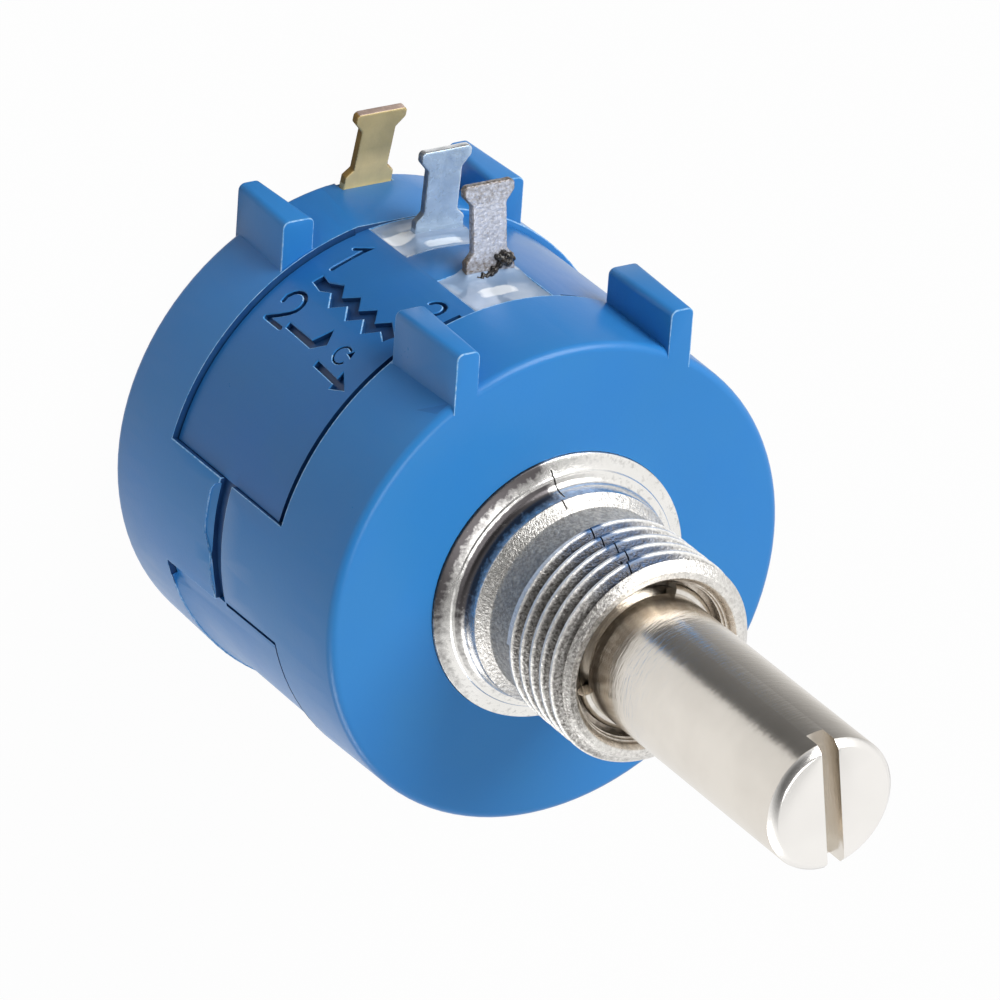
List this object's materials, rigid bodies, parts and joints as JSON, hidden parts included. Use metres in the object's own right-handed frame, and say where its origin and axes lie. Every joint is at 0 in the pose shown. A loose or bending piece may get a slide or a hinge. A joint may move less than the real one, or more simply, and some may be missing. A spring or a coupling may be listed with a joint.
{
  "type": "potentiometer",
  "caption": "Round multi-turn panel potentiometer: moulded barrel with feet, threaded bushing, slotted shaft, solder lugs, and a contact that follows a helical resistance element inside.",
  "frame": {"origin": "centre of the front mounting surface, on the shaft's axis", "axes": "+Z along the shaft, out of the panel; -Y towards the solder lugs"},
  "size_m": [0.0226, 0.0263, 0.0395],
  "materials": {
    "barrel_plastic": "smooth moulded blue plastic",
    "cover_plastic": "smooth moulded blue plastic",
    "bushing_nickel": "nickel-plated brass, satin",
    "tinned_lug": "tinned brass, dull",
    "plain_lug": "bare brass, slightly dull",
    "potting_epoxy": "white casting epoxy",
    "element_wire": "fine resistance wire on an enamelled mandrel",
    "clip_metal": "tinned brass sleeve",
    "spring_bronze": "phosphor bronze spring",
    "shaft_nickel": "nickel-plated brass, drawn finish",
    "ring_steel": "spring steel wire",
    "washer_steel": "plain steel",
    "rotor_plastic": "natural moulded plastic",
    "rod_brass": "drawn brass rod",
    "carrier_plastic": "dark moulded plastic"
  },
  "bodies": {
    "housing": {"housing": "barrel_plastic", "rear_cover": "cover_plastic", "bushing": "bushing_nickel", "terminal_1": "tinned_lug", "terminal_2": "plain_lug", "terminal_3": "tinned_lug", "potting_1": "potting_epoxy", "potting_3": "potting_epoxy", "resistance_element": "element_wire", "end_clip_1": "clip_metal", "end_clip_3": "clip_metal", "slip_ring_brush": "spring_bronze"},
    "shaft": {"shaft": "shaft_nickel", "retaining_ring": "ring_steel", "thrust_washer": "washer_steel", "rotor": "rotor_plastic", "guide_rod": "rod_brass", "slip_ring": "rod_brass"},
    "carrier": {"contact_carrier": "carrier_plastic", "wiper_spring": "spring_bronze"}
  },
  "joints": [
    {"name": "shaft_turn", "type": "hinge", "parent": "housing", "child": "shaft", "pos_m": [0, 0, 0], "axis": [0, 0, 1], "range_deg": [-1890, 1710]},
    {"name": "carrier_travel", "type": "slide", "parent": "shaft", "child": "carrier", "axis": [0, 0, 1], "range_m": [-0.0046, 0.0051]}
  ],
  "couplings": [
    {"joint": "carrier_travel", "follows": "shaft_turn", "m_per_rad": -0.0001512}
  ]
}
